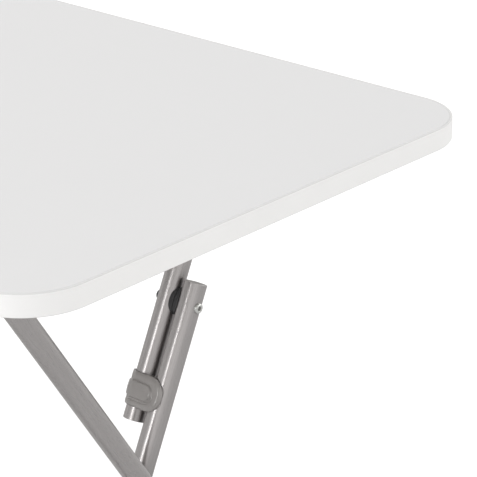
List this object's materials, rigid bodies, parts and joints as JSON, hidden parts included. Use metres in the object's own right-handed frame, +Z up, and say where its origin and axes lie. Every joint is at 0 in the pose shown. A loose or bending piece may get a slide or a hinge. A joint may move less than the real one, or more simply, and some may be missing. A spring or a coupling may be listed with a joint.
{
  "type": "folding table",
  "caption": "Folding table with a rounded white laminate top on crossed grey steel tube frames, with knee links that latch with plastic clips.",
  "frame": {"origin": "on the floor, under the middle of the table top, with the table open", "axes": "+X along the long side, +Y along the short side towards the outer frame's foot bar, +Z up"},
  "size_m": [0.8, 0.5, 0.7],
  "materials": {
    "laminate_board": "white melamine faces on particle board, fine satin grain",
    "band_plastic": "white plastic edge band, satin",
    "satin_steel": "grey satin steel tube with fine lengthwise brushing",
    "grey_plastic": "warm grey moulded plastic, satin",
    "plug_plastic": "grey moulded plastic",
    "black_plastic": "black moulded nylon",
    "rubber_grey": "dark grey rubber",
    "rivet_steel": "bright zinc-plated steel",
    "rivet_dark": "blackened steel",
    "screw_zinc": "zinc-plated steel"
  },
  "bodies": {
    "top": {"top_board": "laminate_board", "edge_band": "band_plastic", "fold_hinge_block_right": "grey_plastic", "fold_hinge_block_left": "grey_plastic", "link_hinge_block_right": "grey_plastic", "link_hinge_block_left": "grey_plastic", "block_screws": "screw_zinc"},
    "outer_legs": {"outer_frame": "satin_steel", "outer_foot_bar": "satin_steel", "foot_cap_right": "rubber_grey", "foot_cap_left": "rubber_grey", "cross_rivet_right": "rivet_steel", "cross_rivet_left": "rivet_steel", "cross_washer_right": "black_plastic", "cross_washer_left": "black_plastic"},
    "inner_legs": {"inner_frame": "satin_steel", "foot_pad_right": "rubber_grey", "foot_pad_left": "rubber_grey", "leg_plug_right": "plug_plastic", "leg_plug_left": "plug_plastic", "knee_rivet_head_right": "rivet_steel", "knee_rivet_head_left": "rivet_steel", "leg_saddle_right": "black_plastic", "leg_saddle_left": "black_plastic"},
    "links": {"link_frame": "satin_steel", "link_plug_right": "plug_plastic", "link_plug_left": "plug_plastic", "knee_rivet_tail_right": "rivet_dark", "knee_rivet_tail_left": "rivet_dark", "link_saddle_right": "black_plastic", "link_saddle_left": "black_plastic", "latch_clip_right": "grey_plastic", "latch_clip_left": "grey_plastic"}
  },
  "joints": [
    {"name": "fold", "type": "hinge", "parent": "top", "child": "outer_legs", "pos_m": [0, -0.163, 0.664], "axis": [1, 0, 0], "range_deg": [0, 58.41]},
    {"name": "cross", "type": "hinge", "parent": "outer_legs", "child": "inner_legs", "pos_m": [0, 0.00974, 0.38314], "axis": [1, 0, 0], "range_deg": [0, 57.36]},
    {"name": "link", "type": "hinge", "parent": "top", "child": "links", "pos_m": [0, 0.145, 0.664], "axis": [1, 0, 0], "range_deg": [-64.33, 0]}
  ],
  "couplings": [
    {"joint": "cross", "follows": "fold", "ratio": 0.98118},
    {"joint": "link", "follows": "fold", "ratio": -1.1006}
  ]
}
